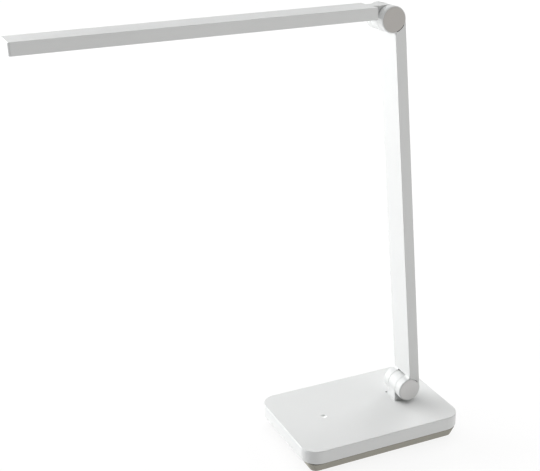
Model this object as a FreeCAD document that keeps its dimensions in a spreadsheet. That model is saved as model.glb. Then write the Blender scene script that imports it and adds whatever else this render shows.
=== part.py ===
import FreeCAD, Part
import Sketcher
import math
import os

# Folding desk lamp: a weighted base, an upright arm and a horizontal light bar,
# joined by two friction hinges whose axes run along Y.
#
# Frame: +Z up, origin on the resting plane under the middle of the base.
# +X is the hinge end of the base, -X is where the light bar reaches, -Y is the
# front. All sizes are millimetres.
#
# Arm pieces are drawn in the arm's own frame (origin on the lower hinge axis,
# Z along the arm) and head pieces in the head's own frame (origin on the upper
# hinge axis, the bar running to -X); each sub-part's Placement then sets it in
# the lamp.

V = FreeCAD.Vector
doc = FreeCAD.newDocument("folding_desk_lamp")

# --------------------------------------------------------------------------
# Driving dimensions
# --------------------------------------------------------------------------
SIZES = [
    # base
    ("base_length", 190.0, "base, left to right"),
    ("base_depth", 130.0, "base, front to back"),
    ("base_corner", 18.5, "plan radius of the base shell"),
    ("shell_top", 28.4, "height of the base's top face"),
    ("shell_base", 13.0, "height of the shell's lower edge"),
    ("shell_wall", 2.4, "shell wall"),
    ("shell_round", 0.9, "rounding of the shell's top edge"),
    ("shell_lip_round", 1.1, "rounding of the shell's lower outer edge"),
    ("tray_inset", 7.0, "how far the tray's hollow starts inside the shell, less its wall"),
    ("tray_inset_x", 3.6, "how far the tray's rim stands in at the short sides"),
    ("tray_inset_y", 1.4, "how far the tray's rim stands in at the long sides"),
    ("tray_corner", 15.5, "plan radius of the tray's hollow, with its wall"),
    ("tray_rim_corner", 11.5, "plan radius of the tray's rim"),
    ("tray_top", 12.1, "height of the tray's rim"),
    ("tray_slope", 24.2, "slope of the tray's sides from upright, degrees"),
    ("neck_inset_x", 6.0, "how far the neck above the rim stands in at the short sides"),
    ("neck_inset_y", 4.6, "how far the neck above the rim stands in at the long sides"),
    ("tray_bottom", 1.0, "height of the tray's underside"),
    ("tray_floor", 3.0, "tray floor thickness"),
    ("tray_wall", 2.2, "tray side wall"),
    ("tray_round", 2.2, "rounding of the tray's lower edge"),
    ("flange_low", 13.4, "height of the tray flange's underside"),
    ("flange_thick", 2.0, "tray flange thickness"),
    ("flange_gap", 0.3, "gap between tray flange and shell wall"),
    ("pad_length", 150.0, "anti-slip pad, left to right"),
    ("pad_depth", 90.0, "anti-slip pad, front to back"),
    ("pad_corner", 10.0, "anti-slip pad corner radius"),
    ("pad_sink", 1.2, "depth of the pad's recess in the tray"),
    ("boss_x", 71.0, "screw boss, distance from the middle"),
    ("boss_y", 41.0, "screw boss, distance from the middle"),
    ("boss_radius", 3.8, "screw boss radius"),
    ("tray_screw", 1.5, "tray screw radius"),
    ("ballast_length", 130.0, "ballast plate, left to right"),
    ("ballast_depth", 96.0, "ballast plate, front to back"),
    ("ballast_thick", 9.0, "ballast plate thickness"),
    ("ballast_screw_x", 58.0, "ballast screw, distance from the middle"),
    ("ballast_screw_y", 40.0, "ballast screw, distance from the middle"),
    ("touch_x", -45.4, "touch spot"),
    ("touch_y", -2.2, "touch spot"),
    ("touch_ball", 12.5, "ball radius of the touch dimple"),
    ("touch_depth", 0.5, "depth of the touch dimple"),
    ("lamp_x", 43.8, "indicator"),
    ("lamp_y", 14.6, "indicator"),
    ("lamp_radius", 1.1, "indicator lens radius"),
    ("board_low", 17.0, "height of the control board's underside"),
    ("board_thick", 1.6, "control board thickness"),
    ("socket_x", 0.0, "power socket"),
    ("socket_half_width", 4.5, "power socket shell, half width"),
    ("socket_half_height", 1.6, "power socket shell, half height"),
    # hinges
    ("hinge_x", 55.1, "lower hinge axis"),
    ("hinge_z", 44.5, "lower hinge axis"),
    ("barrel_radius", 13.3, "hinge barrel radius"),
    ("knuckle_half", 7.4, "half width of the knuckles"),
    ("post_foot", 12.95, "half length of the post at its foot"),
    ("post_round", 0.7, "rounding of the post's upright edges"),
    ("pin_radius", 3.5, "hinge pin radius"),
    ("pin_bore", 1.7, "bore of the hollow hinge pin"),
    ("pin_play", 0.04, "radial play between knuckle and pin"),
    ("fork_inner", 7.75, "half gap between the fork's ears"),
    ("web_face", 12.9, "ear web, outer face"),
    ("cap_seat", 16.2, "seat of the hinge caps"),
    ("ring_face", 17.5, "outer face of the ring round the caps"),
    ("cap_face", 17.6, "outer face of the hinge caps"),
    ("ring_round", 0.95, "rounding of the ring round the caps"),
    ("bead_radius", 14.4, "outer radius of the raised arc beside the ring"),
    ("cap_radius", 12.3, "hinge cap radius"),
    ("cap_play", 0.05, "gap round the hinge caps"),
    ("recess_radius", 9.6, "recess behind the hinge caps"),
    ("slot_radius", 14.9, "clearance of the fork round the knuckle"),
    ("crease_round", 3.0, "rounding between barrel and inner face"),
    # arm
    ("arm_span", 418.6, "lower hinge axis to upper hinge axis"),
    ("arm_lean", 4.28, "lean of the arm towards -X, degrees"),
    ("bar_half", 17.0, "half width of arm and head"),
    ("bar_inner", 1.3, "inner face of arm and head from the hinge axis"),
    ("bar_outer", 13.3, "outer face of arm and head from the hinge axis"),
    ("bar_round", 0.6, "rounding of the long edges"),
    ("cover_half", 15.6, "half width of the arm's back opening"),
    ("cover_thick", 1.6, "arm cover thickness"),
    ("channel_half", 14.2, "half width of the arm's hollow"),
    ("channel_wall", 1.7, "arm front wall"),
    ("channel_end", 24.0, "arm hollow, distance from the hinge axes"),
    ("cover_end", 19.0, "arm cover opening, distance from the hinge axes"),
    # head
    ("head_start", 17.8, "start of the full width bar from the hinge axis"),
    ("head_end", 372.0, "far end of the bar from the hinge axis"),
    ("head_corner", 2.6, "upright corners of the bar's far end"),
    ("head_skin", 1.6, "head top wall"),
    ("lens_half", 15.2, "half width of the lens opening"),
    ("lens_thick", 2.0, "lens thickness"),
    ("lens_start", 22.0, "lens opening from the hinge axis"),
    ("lens_end", 369.4, "lens opening, far end"),
    ("led_count", 36.0, "number of light emitters"),
    ("led_pitch", 9.0, "distance between light emitters"),
]

sheet = doc.addObject("Spreadsheet::Sheet", "Sizes")
given = {}
for row, (name, value, note) in enumerate(SIZES, start=1):
    sheet.set("A%d" % row, name)
    sheet.set("B%d" % row, "%g" % value)
    sheet.setAlias("B%d" % row, name)
    sheet.set("C%d" % row, note)
    given[name] = value
doc.recompute()


class Size:
    """A number together with the sheet expression that gives it."""

    def __init__(self, value, text):
        self.value = float(value)
        self.text = text

    def __add__(self, other):
        other = size(other)
        return Size(self.value + other.value, "(%s + %s)" % (self.text, other.text))

    def __sub__(self, other):
        other = size(other)
        return Size(self.value - other.value, "(%s - %s)" % (self.text, other.text))

    def __mul__(self, other):
        other = size(other)
        return Size(self.value * other.value, "(%s * %s)" % (self.text, other.text))

    def __truediv__(self, other):
        other = size(other)
        return Size(self.value / other.value, "(%s / %s)" % (self.text, other.text))

    def __radd__(self, other):
        return size(other) + self

    def __rsub__(self, other):
        return size(other) - self

    def __rmul__(self, other):
        return size(other) * self

    def __neg__(self):
        return Size(-self.value, "(0 - %s)" % self.text)

    def root(self):
        return Size(math.sqrt(self.value), "sqrt(%s)" % self.text)


def size(number):
    if isinstance(number, Size):
        return number
    number = float(number)
    return Size(number, "%.6g" % number if number >= 0 else "(0 - %.6g)" % -number)


def dim(name):
    return Size(given[name], "Sizes.%s" % name)


def tie(obj, path, amount):
    """Set a property and keep it bound to the sheet."""
    amount = size(amount)
    if "Sizes." in amount.text:
        obj.setExpression(path, amount.text)


# --------------------------------------------------------------------------
# Bodies, sketches and features
# --------------------------------------------------------------------------
subparts = []
count = {}


def fresh(kind):
    count[kind] = count.get(kind, 0) + 1
    return "%s%03d" % (kind, count[kind])


def new_body(name):
    body = doc.addObject("PartDesign::Body", name)
    body.Label = name
    subparts.append(body)
    return body


def new_sketch(body, role, offset=0.0):
    plane = [f for f in body.Origin.OriginFeatures if f.Role == role][0]
    sk = body.newObject("Sketcher::SketchObject", fresh("Sketch"))
    sk.AttachmentSupport = [(plane, "")]
    sk.MapMode = "FlatFace"
    offset = size(offset)
    sk.AttachmentOffset = FreeCAD.Placement(V(0, 0, offset.value), FreeCAD.Rotation())
    tie(sk, "AttachmentOffset.Base.z", offset)
    return sk


def hold(sk, constraint, amount=None):
    index = sk.addConstraint(constraint)
    if amount is not None and "Sizes." in amount.text:
        sk.renameConstraint(index, "c%d" % index)
        sk.setExpression("Constraints.c%d" % index, amount.text)
    return index


def at_x(sk, geo, pos, amount):
    amount = size(amount)
    hold(sk, Sketcher.Constraint("DistanceX", -1, 1, geo, pos, amount.value), amount)


def at_y(sk, geo, pos, amount):
    amount = size(amount)
    hold(sk, Sketcher.Constraint("DistanceY", -1, 1, geo, pos, amount.value), amount)


def polygon(sk, points):
    points = [(size(x), size(y)) for x, y in points]
    first = sk.GeometryCount
    n = len(points)
    for k in range(n):
        a, b = points[k], points[(k + 1) % n]
        sk.addGeometry(Part.LineSegment(V(a[0].value, a[1].value, 0), V(b[0].value, b[1].value, 0)))
    for k in range(n):
        hold(sk, Sketcher.Constraint("Coincident", first + k, 2, first + (k + 1) % n, 1))
    for k in range(n):
        at_x(sk, first + k, 1, points[k][0])
        at_y(sk, first + k, 1, points[k][1])


def rectangle(sk, x0, x1, y0, y1):
    x0, x1, y0, y1 = size(x0), size(x1), size(y0), size(y1)
    g = sk.GeometryCount
    corners = [(x0, y0), (x1, y0), (x1, y1), (x0, y1)]
    for k in range(4):
        a, b = corners[k], corners[(k + 1) % 4]
        sk.addGeometry(Part.LineSegment(V(a[0].value, a[1].value, 0), V(b[0].value, b[1].value, 0)))
    for k in range(4):
        hold(sk, Sketcher.Constraint("Coincident", g + k, 2, g + (k + 1) % 4, 1))
    hold(sk, Sketcher.Constraint("Horizontal", g))
    hold(sk, Sketcher.Constraint("Horizontal", g + 2))
    hold(sk, Sketcher.Constraint("Vertical", g + 1))
    hold(sk, Sketcher.Constraint("Vertical", g + 3))
    at_x(sk, g, 1, x0)
    at_y(sk, g, 1, y0)
    at_x(sk, g + 2, 1, x1)
    at_y(sk, g + 2, 1, y1)


def rounded(sk, x0, x1, y0, y1, r):
    """Rectangle with four equal corner arcs."""
    x0, x1, y0, y1, r = size(x0), size(x1), size(y0), size(y1), size(r)
    a, b, c, d, q = x0.value, x1.value, y0.value, y1.value, r.value
    g = sk.GeometryCount
    lines = [((a + q, c), (b - q, c)), ((b, c + q), (b, d - q)),
             ((b - q, d), (a + q, d)), ((a, d - q), (a, c + q))]
    for p0, p1 in lines:
        sk.addGeometry(Part.LineSegment(V(p0[0], p0[1], 0), V(p1[0], p1[1], 0)))
    arcs = [(b - q, c + q, -90), (b - q, d - q, 0), (a + q, d - q, 90), (a + q, c + q, 180)]
    for cx, cy, start in arcs:
        sk.addGeometry(Part.ArcOfCircle(Part.Circle(V(cx, cy, 0), V(0, 0, 1), q),
                                        math.radians(start), math.radians(start + 90)))
    for k in range(4):
        hold(sk, Sketcher.Constraint("Tangent", g + k, 2, g + 4 + k, 1))
        hold(sk, Sketcher.Constraint("Tangent", g + 4 + k, 2, g + (k + 1) % 4, 1))
    hold(sk, Sketcher.Constraint("Horizontal", g))
    hold(sk, Sketcher.Constraint("Horizontal", g + 2))
    hold(sk, Sketcher.Constraint("Vertical", g + 1))
    hold(sk, Sketcher.Constraint("Vertical", g + 3))
    for k in (1, 2, 3):
        hold(sk, Sketcher.Constraint("Equal", g + 4, g + 4 + k))
    hold(sk, Sketcher.Constraint("Radius", g + 4, q), r)
    at_y(sk, g, 1, y0)
    at_x(sk, g + 1, 1, x1)
    at_y(sk, g + 2, 1, y1)
    at_x(sk, g + 3, 1, x0)


def circle(sk, cx, cy, r):
    cx, cy, r = size(cx), size(cy), size(r)
    g = sk.GeometryCount
    sk.addGeometry(Part.Circle(V(cx.value, cy.value, 0), V(0, 0, 1), r.value))
    hold(sk, Sketcher.Constraint("Radius", g, r.value), r)
    at_x(sk, g, 3, cx)
    at_y(sk, g, 3, cy)


def finish_feature(body, feat, before, grows):
    body.Tip = feat
    doc.recompute()
    if feat.Shape.isNull() or not feat.isValid():
        raise RuntimeError("%s in %s failed" % (feat.Name, body.Label))
    after = feat.Shape.Volume
    if grows is True and after <= before + 1e-6:
        raise RuntimeError("%s in %s added nothing" % (feat.Name, body.Label))
    if grows is False and after >= before - 1e-6:
        raise RuntimeError("%s in %s cut nothing" % (feat.Name, body.Label))
    return feat


def volume(body):
    return body.Shape.Volume if body.Tip is not None and not body.Shape.isNull() else 0.0


def pad(body, sk, length, both=False, flip=False, taper=None):
    before = volume(body)
    feat = body.newObject("PartDesign::Pad", fresh("Pad"))
    feat.Profile = sk
    feat.Length = size(length).value
    feat.SideType = "Symmetric" if both else "One side"
    feat.Reversed = flip
    tie(feat, "Length", length)
    if taper is not None:
        feat.TaperAngle = size(taper).value
        tie(feat, "TaperAngle", taper)
    sk.Visibility = False
    return finish_feature(body, feat, before, True)


def pocket(body, sk, length=None, both=False, flip=False):
    before = volume(body)
    feat = body.newObject("PartDesign::Pocket", fresh("Pocket"))
    feat.Profile = sk
    if length is None:
        feat.Type = "ThroughAll"
    else:
        feat.Length = size(length).value
        tie(feat, "Length", length)
    feat.SideType = "Symmetric" if both else "One side"
    feat.Reversed = flip
    sk.Visibility = False
    return finish_feature(body, feat, before, False)


def revolve(body, sk, cut=False):
    before = volume(body)
    kind = "PartDesign::Groove" if cut else "PartDesign::Revolution"
    feat = body.newObject(kind, fresh("Groove" if cut else "Revolution"))
    feat.Profile = sk
    feat.ReferenceAxis = (sk, ["V_Axis"])
    feat.Angle = 360.0
    sk.Visibility = False
    return finish_feature(body, feat, before, not cut)


def edges_where(shape, test):
    names = []
    for k, edge in enumerate(shape.Edges, start=1):
        if test(edge):
            names.append("Edge%d" % k)
    return names


def round_edges(body, radius, test, bevel=False):
    before = volume(body)
    base = body.Tip
    names = edges_where(base.Shape, test)
    if not names:
        raise RuntimeError("no edges to round in %s" % body.Label)
    kind = "PartDesign::Chamfer" if bevel else "PartDesign::Fillet"
    feat = body.newObject(kind, fresh("Chamfer" if bevel else "Fillet"))
    feat.Base = (base, names)
    path = "Size" if bevel else "Radius"
    setattr(feat, path, size(radius).value)
    tie(feat, path, radius)
    return finish_feature(body, feat, before, None)


def near(a, b, tol=0.02):
    return abs(a - b) < tol


def flat_at(edge, z):
    box = edge.BoundBox
    return near(box.ZMin, z) and near(box.ZMax, z)


def place(obj, x=0.0, y=0.0, z=0.0, lean=None):
    x, y, z = size(x), size(y), size(z)
    if lean is None:
        turn = FreeCAD.Rotation()
    else:
        turn = FreeCAD.Rotation(V(0, -1, 0), lean.value)
    obj.Placement = FreeCAD.Placement(V(x.value, y.value, z.value), turn)
    tie(obj, "Placement.Base.x", x)
    tie(obj, "Placement.Base.y", y)
    tie(obj, "Placement.Base.z", z)


def loose(kind, name, **props):
    """A Part primitive whose sizes are bound to the sheet."""
    obj = doc.addObject(kind, name)
    for key, amount in props.items():
        amount = size(amount)
        setattr(obj, key, amount.value if key != "Polygon" else int(amount.value))
        if key != "Polygon":
            tie(obj, key, amount)
    obj.Visibility = False
    return obj


def block(name, x0, x1, y0, y1, z0, z1):
    x0, x1, y0, y1, z0, z1 = [size(q) for q in (x0, x1, y0, y1, z0, z1)]
    obj = loose("Part::Box", name, Length=x1 - x0, Width=y1 - y0, Height=z1 - z0)
    place(obj, x0, y0, z0)
    return obj


def rod(name, x, y, z, radius, height):
    obj = loose("Part::Cylinder", name, Radius=radius, Height=height)
    place(obj, x, y, z)
    return obj


def cut_of(name, base, tool):
    obj = doc.addObject("Part::Cut", name)
    obj.Base = base
    obj.Tool = tool
    return obj


def fuse_of(name, first, second):
    obj = doc.addObject("Part::Fuse", name)
    obj.Base = first
    obj.Tool = second
    return obj


def group_of(name, items):
    obj = doc.addObject("Part::Compound", name)
    obj.Links = items
    obj.Label = name
    subparts.append(obj)
    return obj


def screw(x, y, head_z, head_radius, head_height, shank_radius, shank_length, up):
    """Cap screw with a hexagon socket. up: the shank points to +Z from head_z."""
    x, y, z = size(x), size(y), size(head_z)
    hh, sl = size(head_height), size(shank_length)
    tag = fresh("screw")
    if up:
        head = rod(tag + "_head", x, y, z - hh, head_radius, hh)
        shank = rod(tag + "_shank", x, y, z - 0.2, shank_radius, sl + 0.2)
        drive_z = z - hh - 0.01
    else:
        head = rod(tag + "_head", x, y, z, head_radius, hh)
        shank = rod(tag + "_shank", x, y, z - sl, shank_radius, sl + 0.2)
        drive_z = z + hh * 0.4
    drive = loose("Part::Prism", tag + "_drive", Polygon=6,
                  Circumradius=size(head_radius) * 0.5, Height=hh * 0.6 + 0.01)
    place(drive, x, y, drive_z)
    return cut_of(tag, fuse_of(tag + "_blank", head, shank), drive)


def lead(name, points, radius):
    """Round lead along straight runs joined by tangent arcs."""
    pts = [V(*p) for p in points]
    edges = []
    last = pts[0]
    for k in range(1, len(pts) - 1):
        a, b, c = pts[k - 1], pts[k], pts[k + 1]
        u = (a - b).normalize()
        w = (c - b).normalize()
        turn = math.pi - u.getAngle(w)
        run = min((a - b).Length, (c - b).Length)
        bend = 0.45 * run / math.tan(turn / 2)
        back = bend * math.tan(turn / 2)
        start, stop = b + u * back, b + w * back
        mid_dir = (u + w).normalize()
        far = bend / math.cos(turn / 2) - bend
        edges.append(Part.LineSegment(last, start).toShape())
        edges.append(Part.Arc(start, b + mid_dir * far, stop).toShape())
        last = stop
        if radius > 0.5:
            print(name, "bend", k, round(bend, 2))
    edges.append(Part.LineSegment(last, pts[-1]).toShape())
    path = Part.Wire(edges)
    ring = Part.Wire([Part.Circle(pts[0], pts[1] - pts[0], radius).toShape()])
    shape = path.makePipeShell([ring], True, True)
    want = math.pi * radius ** 2 * path.Length
    if abs(shape.Volume - want) > 0.03 * want:
        raise RuntimeError("lead %s has the wrong volume" % name)
    obj = doc.addObject("Part::Feature", name)
    obj.Shape = shape
    obj.Label = name
    subparts.append(obj)
    return obj


# --------------------------------------------------------------------------
# Base
# --------------------------------------------------------------------------
half_l = dim("base_length") / 2
half_d = dim("base_depth") / 2
top = dim("shell_top")
low = dim("shell_base")
wall = dim("shell_wall")
roof = top - wall
corner = dim("base_corner")
floor_top = dim("tray_bottom") + dim("tray_floor")
board_top = dim("board_low") + dim("board_thick")
hx, hz = dim("hinge_x"), dim("hinge_z")
R = dim("barrel_radius")

# Upper shell: rounded box, open underneath.
shell = new_body("base_shell")
sk = new_sketch(shell, "XY_Plane", low)
rounded(sk, -half_l, half_l, -half_d, half_d, corner)
pad(shell, sk, top - low)
round_edges(shell, dim("shell_round"), lambda e: flat_at(e, given["shell_top"]))
round_edges(shell, dim("shell_lip_round"), lambda e: flat_at(e, given["shell_base"]))
sk = new_sketch(shell, "XY_Plane", low)
rounded(sk, wall - half_l, half_l - wall, wall - half_d, half_d - wall, corner - wall)
pocket(shell, sk, roof - low, flip=True)
# Screw bosses that reach down to the tray floor, and their pilot holes.
sk = new_sketch(shell, "XY_Plane", floor_top)
for sx in (-1, 1):
    for sy in (-1, 1):
        circle(sk, dim("boss_x") * sx, dim("boss_y") * sy, dim("boss_radius"))
pad(shell, sk, roof - floor_top + 0.2)
sk = new_sketch(shell, "XY_Plane", floor_top)
for sx in (-1, 1):
    for sy in (-1, 1):
        circle(sk, dim("boss_x") * sx, dim("boss_y") * sy, dim("tray_screw"))
pocket(shell, sk, 13.0, flip=True)
# Four short posts that carry the control board.
BOARD_POSTS = [(-50.0, 30.0), (30.0, 30.0), (-50.0, 52.0), (30.0, 52.0)]
sk = new_sketch(shell, "XY_Plane", board_top)
for x, y in BOARD_POSTS:
    circle(sk, x, y, 2.8)
pad(shell, sk, roof - board_top + 0.2)
sk = new_sketch(shell, "XY_Plane", board_top)
for x, y in BOARD_POSTS:
    circle(sk, x, y, 1.0)
pocket(shell, sk, 6.0, flip=True)
# Lead and spigot hole, screw holes of the post, indicator hole.
sk = new_sketch(shell, "XY_Plane", roof - 0.5)
circle(sk, hx, 0.0, 3.5)
circle(sk, hx - 7.8, 0.0, 1.8)
circle(sk, hx + 7.8, 0.0, 1.8)
circle(sk, dim("lamp_x"), dim("lamp_y"), dim("lamp_radius") + 0.03)
pocket(shell, sk, wall + 1.0, flip=True)
# Opening for the power socket in the rear wall.
socket_z = board_top + dim("socket_half_height")
sk = new_sketch(shell, "XZ_Plane", -half_d - 1.0)
rounded(sk, dim("socket_x") - dim("socket_half_width") - 0.15,
        dim("socket_x") + dim("socket_half_width") + 0.15,
        socket_z - dim("socket_half_height") - 0.15,
        socket_z + dim("socket_half_height") + 0.15,
        dim("socket_half_height"))
pocket(shell, sk, wall + 2.0, flip=True)
# Touch spot: a shallow round dimple.
sk = new_sketch(shell, "XZ_Plane", -dim("touch_y"))
ball = dim("touch_ball")
bx, bz = dim("touch_x"), top + ball - dim("touch_depth")
g = sk.GeometryCount
sk.addGeometry(Part.ArcOfCircle(Part.Circle(V(bx.value, bz.value, 0), V(0, 0, 1), ball.value),
                                math.radians(-90), math.radians(90)))
sk.addGeometry(Part.LineSegment(V(bx.value, bz.value + ball.value, 0), V(bx.value, bz.value - ball.value, 0)))
hold(sk, Sketcher.Constraint("Coincident", g, 2, g + 1, 1))
hold(sk, Sketcher.Constraint("Coincident", g + 1, 2, g, 1))
hold(sk, Sketcher.Constraint("Radius", g, ball.value), ball)
at_x(sk, g, 3, bx)
at_y(sk, g, 3, bz)
at_x(sk, g, 1, bx)
at_x(sk, g, 2, bx)
before = volume(shell)
feat = shell.newObject("PartDesign::Groove", fresh("Groove"))
feat.Profile = sk
feat.ReferenceAxis = (sk, ["Edge2"])
feat.Angle = 360.0
finish_feature(shell, feat, before, False)

# Lower tray: a dish with sloping sides, a narrow neck that leaves a dark line
# under the shell, and a flange that closes the shell.
tray = new_body("base_tray")
inset = dim("tray_inset")
rx, ry = dim("tray_inset_x"), dim("tray_inset_y")
sk = new_sketch(tray, "XY_Plane", dim("tray_top"))
rounded(sk, rx - half_l, half_l - rx, ry - half_d, half_d - ry, dim("tray_rim_corner"))
pad(tray, sk, dim("tray_top") - dim("tray_bottom"), flip=True, taper=dim("tray_slope") * -1.0)
round_edges(tray, dim("tray_round"), lambda e: flat_at(e, given["tray_bottom"]))
round_edges(tray, 0.3, lambda e: flat_at(e, given["tray_top"]))
nx, ny = dim("neck_inset_x"), dim("neck_inset_y")
sk = new_sketch(tray, "XY_Plane", dim("tray_top"))
rounded(sk, nx - half_l, half_l - nx, ny - half_d, half_d - ny, corner - ny)
pad(tray, sk, dim("flange_low") - dim("tray_top"))
fl = wall + dim("flange_gap")
sk = new_sketch(tray, "XY_Plane", dim("flange_low"))
rounded(sk, fl - half_l, half_l - fl, fl - half_d, half_d - fl, corner - fl)
pad(tray, sk, dim("flange_thick"))
tw = inset + dim("tray_wall")
sk = new_sketch(tray, "XY_Plane", floor_top)
rounded(sk, tw - half_l, half_l - tw, tw - half_d, half_d - tw, dim("tray_corner") - dim("tray_wall"))
pocket(tray, sk, 30.0, flip=True)
sk = new_sketch(tray, "XY_Plane", dim("tray_bottom"))
rounded(sk, dim("pad_length") / -2, dim("pad_length") / 2,
        dim("pad_depth") / -2, dim("pad_depth") / 2, dim("pad_corner"))
pocket(tray, sk, dim("pad_sink"), flip=True)
sk = new_sketch(tray, "XY_Plane", dim("tray_bottom"))
for sx in (-1, 1):
    for sy in (-1, 1):
        circle(sk, dim("boss_x") * sx, dim("boss_y") * sy, dim("tray_screw") + 0.2)
        circle(sk, dim("ballast_screw_x") * sx, dim("ballast_screw_y") * sy, 1.25)
pocket(tray, sk, 10.0, flip=True)
sk = new_sketch(tray, "XY_Plane", dim("tray_bottom"))
for sx in (-1, 1):
    for sy in (-1, 1):
        circle(sk, dim("boss_x") * sx, dim("boss_y") * sy, 2.8)
pocket(tray, sk, dim("pad_sink") + 1.1, flip=True)

# Anti-slip pad: the lamp rests on its underside.
rubber = new_body("antislip_pad")
pg = 0.15
sk = new_sketch(rubber, "XY_Plane")
rounded(sk, dim("pad_length") / -2 + pg, dim("pad_length") / 2 - pg,
        dim("pad_depth") / -2 + pg, dim("pad_depth") / 2 - pg, dim("pad_corner") - pg)
pad(rubber, sk, dim("tray_bottom") + dim("pad_sink"))
round_edges(rubber, 0.4, lambda e: flat_at(e, 0.0))

# Ballast plate with countersunk seats for its screws.
ballast = new_body("ballast_plate")
bl, bd = dim("ballast_length") / 2, dim("ballast_depth") / 2
ballast_top = floor_top + dim("ballast_thick")
sk = new_sketch(ballast, "XY_Plane", floor_top)
rounded(sk, -bl, bl, -bd, bd, 6.0)
pad(ballast, sk, dim("ballast_thick"))
round_edges(ballast, 0.6, lambda e: flat_at(e, ballast_top.value), bevel=True)
sk = new_sketch(ballast, "XY_Plane", floor_top)
for sx in (-1, 1):
    for sy in (-1, 1):
        circle(sk, dim("ballast_screw_x") * sx, dim("ballast_screw_y") * sy, 1.7)
pocket(ballast, sk, 20.0, flip=True)
sk = new_sketch(ballast, "XY_Plane", ballast_top)
for sx in (-1, 1):
    for sy in (-1, 1):
        circle(sk, dim("ballast_screw_x") * sx, dim("ballast_screw_y") * sy, 3.2)
pocket(ballast, sk, 2.2)

group_of("ballast_screws", [
    screw(dim("ballast_screw_x") * sx, dim("ballast_screw_y") * sy, ballast_top - 2.2,
          2.9, 2.0, 1.25, dim("ballast_thick") - 2.2 + 1.6, False)
    for sx in (-1, 1) for sy in (-1, 1)])

group_of("tray_screws", [
    screw(dim("boss_x") * sx, dim("boss_y") * sy, dim("tray_bottom") + dim("pad_sink") + 1.1,
          2.6, 1.0, 1.5, 11.0, True)
    for sx in (-1, 1) for sy in (-1, 1)])

# Post that carries the lower hinge: straight flanks under a round knuckle.
post = new_body("hinge_pedestal")
kh = dim("knuckle_half")
sk = new_sketch(post, "XZ_Plane")
circle(sk, 0.0, 0.0, R)
pad(post, sk, kh * 2, both=True)
round_edges(post, 0.5, lambda e: near(e.BoundBox.YLength, 0.0) and e.BoundBox.XLength > 20)
sk = new_sketch(post, "XY_Plane", top - hz)
rounded(sk, -dim("post_foot"), dim("post_foot"), -kh, kh, dim("post_round"))
pad(post, sk, hz - top - 3.0)
# Spigot through the shell, lead passage, screw holes and pin bore.
sk = new_sketch(post, "XY_Plane", top - hz - wall + 0.1)
circle(sk, 0.0, 0.0, 3.4)
pad(post, sk, wall + 1.0)
sk = new_sketch(post, "XY_Plane", top - hz - wall)
circle(sk, 0.0, 0.0, 1.8)
pocket(post, sk, hz - top + wall - 1.0, flip=True)
sk = new_sketch(post, "XY_Plane", top - hz)
circle(sk, -7.8, 0.0, 1.5)
circle(sk, 7.8, 0.0, 1.5)
pocket(post, sk, 9.0, flip=True)
sk = new_sketch(post, "XZ_Plane")
circle(sk, 0.0, 0.0, dim("pin_radius") + dim("pin_play"))
pocket(post, sk, kh * 2 + 2.0, both=True)
place(post, hx, 0.0, hz)

# Steel plate under the shell's roof, and the screws that clamp the post to it.
plate = new_body("hinge_backing_plate")
sk = new_sketch(plate, "XY_Plane", roof - 2.0)
rounded(sk, hx - 16.0, hx + 16.0, -10.0, 10.0, 3.0)
circle(sk, hx, 0.0, 4.0)
circle(sk, hx - 7.8, 0.0, 1.8)
circle(sk, hx + 7.8, 0.0, 1.8)
pad(plate, sk, 2.0)

group_of("pedestal_screws", [
    screw(hx + side * 7.8, 0.0, roof - 2.0, 2.9, 2.2, 1.5, wall + 2.0 + 8.0, True)
    for side in (-1, 1)])

# Control board: L-shaped, so that it clears the backing plate.
board = new_body("control_board")
sk = new_sketch(board, "XY_Plane", dim("board_low"))
polygon(sk, [(-56.0, -14.0), (34.0, -14.0), (34.0, 11.6), (50.0, 11.6), (50.0, 58.0), (-56.0, 58.0)])
for x, y in BOARD_POSTS:
    circle(sk, x, y, 1.3)
pad(board, sk, dim("board_thick"))

parts_up = [
    block("coil_block", -18.0, -8.0, 20.0, 30.0, board_top, board_top + 4.6),
    block("chip_touch", -38.0, -30.0, 6.0, 12.0, board_top, board_top + 1.4),
    block("chip_driver", 2.0, 8.0, 22.0, 27.0, board_top, board_top + 1.5),
    rod("can_one", 16.0, 40.0, board_top, 3.1, 5.6),
    rod("can_two", -34.0, 42.0, board_top, 3.1, 5.6),
    block("diode", -2.0, 2.5, 34.0, 36.6, board_top, board_top + 1.1),
    block("lead_plug", 26.0, 33.0, -4.0, 4.0, board_top, board_top + 4.0),
    block("status_light", dim("lamp_x") - 0.8, dim("lamp_x") + 0.8,
          dim("lamp_y") - 0.6, dim("lamp_y") + 0.6, board_top, board_top + 0.7),
]
group_of("board_components", parts_up)

group_of("board_screws", [
    screw(x, y, dim("board_low"), 2.0, 1.3, 1.0, dim("board_thick") + 5.0, True)
    for x, y in BOARD_POSTS])

# Sensing spring between the board and the underside of the touch spot.
coil = []
for k in range(43):
    turn = math.radians(36.0 * k)
    coil.append((given["touch_x"] + 3.4 * math.cos(turn), given["touch_y"] + 3.4 * math.sin(turn),
                 board_top.value + 0.7 + 0.145 * k))
lead("touch_spring", coil, 0.3)

# Light pipe of the indicator.
pipe = new_body("indicator_lens")
sk = new_sketch(pipe, "XY_Plane", board_top + 1.2)
circle(sk, 0.0, 0.0, dim("lamp_radius"))
pad(pipe, sk, top - board_top - 1.25)
sk = new_sketch(pipe, "XY_Plane", roof - 1.2)
circle(sk, 0.0, 0.0, dim("lamp_radius") + 0.8)
pad(pipe, sk, 1.2)
place(pipe, dim("lamp_x"), dim("lamp_y"), 0.0)

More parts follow.
